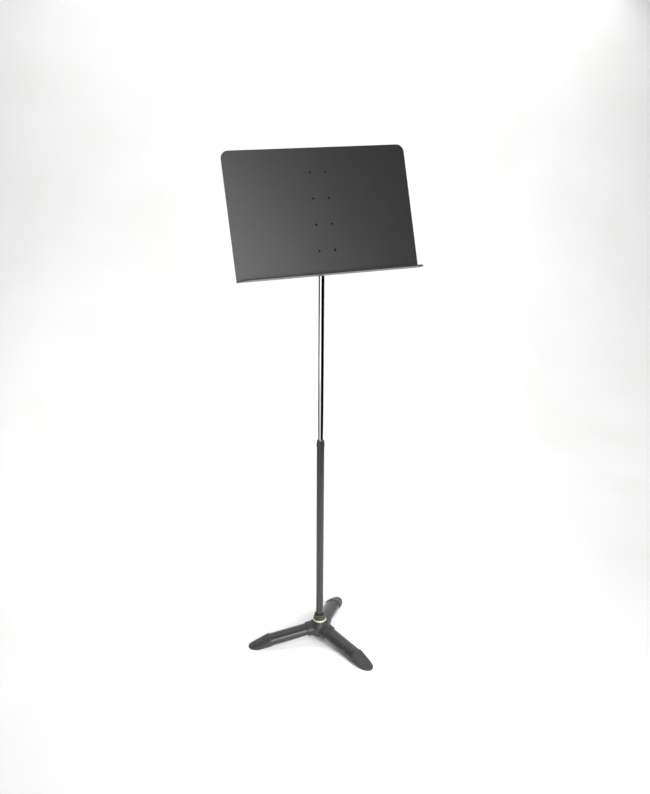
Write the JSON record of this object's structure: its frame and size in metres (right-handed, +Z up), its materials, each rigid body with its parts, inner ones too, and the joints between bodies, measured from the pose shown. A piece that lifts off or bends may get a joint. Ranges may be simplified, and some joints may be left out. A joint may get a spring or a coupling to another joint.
{
  "type": "music stand",
  "caption": "Free-standing orchestra music stand: flat steel desk with a ledge on a telescopic, swivelling post with a tilt joint and a three-legged base.",
  "frame": {"origin": "on the floor, under the middle of the stand's box with the post drawn out and the desk at its usual slope", "axes": "+Z up; the desk faces -Y, towards the reader; +X is the reader's right"},
  "size_m": [0.5, 0.383, 1.4609],
  "materials": {
    "black_casting": "black painted casting, smooth satin",
    "black_tube_coat": "fine satin black powder coat on steel tube",
    "grey_rubber": "dark grey moulded rubber, dull",
    "zinc_steel": "bright zinc plated steel",
    "pale_green_plastic": "pale yellow-green moulded nylon",
    "olive_nut_metal": "olive-grey passivated die-cast nut",
    "black_nylon": "black moulded nylon",
    "gloss_black_plastic": "glossy black moulded acetal",
    "natural_nylon": "natural cream nylon",
    "spring_steel": "hardened spring steel",
    "chrome_tube": "bright chrome plated steel tube",
    "cast_zinc": "bare cast zinc alloy",
    "friction_fibre": "pressed friction fibre",
    "desk_powder_coat": "fine-textured satin black powder coat on sheet steel",
    "rivet_steel": "steel rivets under the same powder coat"
  },
  "bodies": {
    "base": {"hub_casting": "black_casting", "leg_tube_1": "black_tube_coat", "leg_tube_2": "black_tube_coat", "leg_tube_3": "black_tube_coat", "foot_1": "grey_rubber", "foot_2": "grey_rubber", "foot_3": "grey_rubber", "leg_screws": "zinc_steel", "base_bolt": "zinc_steel", "base_washer": "zinc_steel", "tube_plug": "zinc_steel", "colour_ring": "pale_green_plastic", "collet_ring": "black_nylon", "lower_tube": "black_tube_coat", "guide_bush": "gloss_black_plastic"},
    "collar": {"collar_nut": "olive_nut_metal"},
    "clutch": {"clutch_sleeve": "natural_nylon", "clutch_spring": "spring_steel"},
    "upper_post": {"inner_tube": "chrome_tube", "inner_end_plug": "zinc_steel", "clutch_washer": "zinc_steel", "clutch_screw": "zinc_steel", "head_block": "cast_zinc", "head_pin": "spring_steel"},
    "desk": {"tilt_bolt": "zinc_steel", "tilt_nut": "zinc_steel", "tilt_washers": "zinc_steel", "disc_springs": "spring_steel", "friction_discs": "friction_fibre", "desk_panel": "desk_powder_coat", "desk_spine": "desk_powder_coat", "desk_rivets": "rivet_steel", "tilt_bracket": "desk_powder_coat", "bracket_screws": "zinc_steel", "bracket_nuts": "zinc_steel"}
  },
  "joints": [
    {"name": "collar_turn", "type": "hinge", "parent": "base", "child": "collar", "pos_m": [0, 0.01237, 0.079], "axis": [0, 0, 1], "range_deg": [0, 270]},
    {"name": "height_slide", "type": "slide", "parent": "base", "child": "clutch", "axis": [0, 0, 1], "range_m": [-0.5, 0.01]},
    {"name": "desk_swivel", "type": "hinge", "parent": "clutch", "child": "upper_post", "pos_m": [0, 0.01237, 0.58], "axis": [0, 0, 1], "continuous": true},
    {"name": "desk_tilt", "type": "hinge", "parent": "upper_post", "child": "desk", "pos_m": [0, 0.01237, 1.225], "axis": [-1, 0, 0], "range_deg": [-21.5, 68.5]}
  ]
}
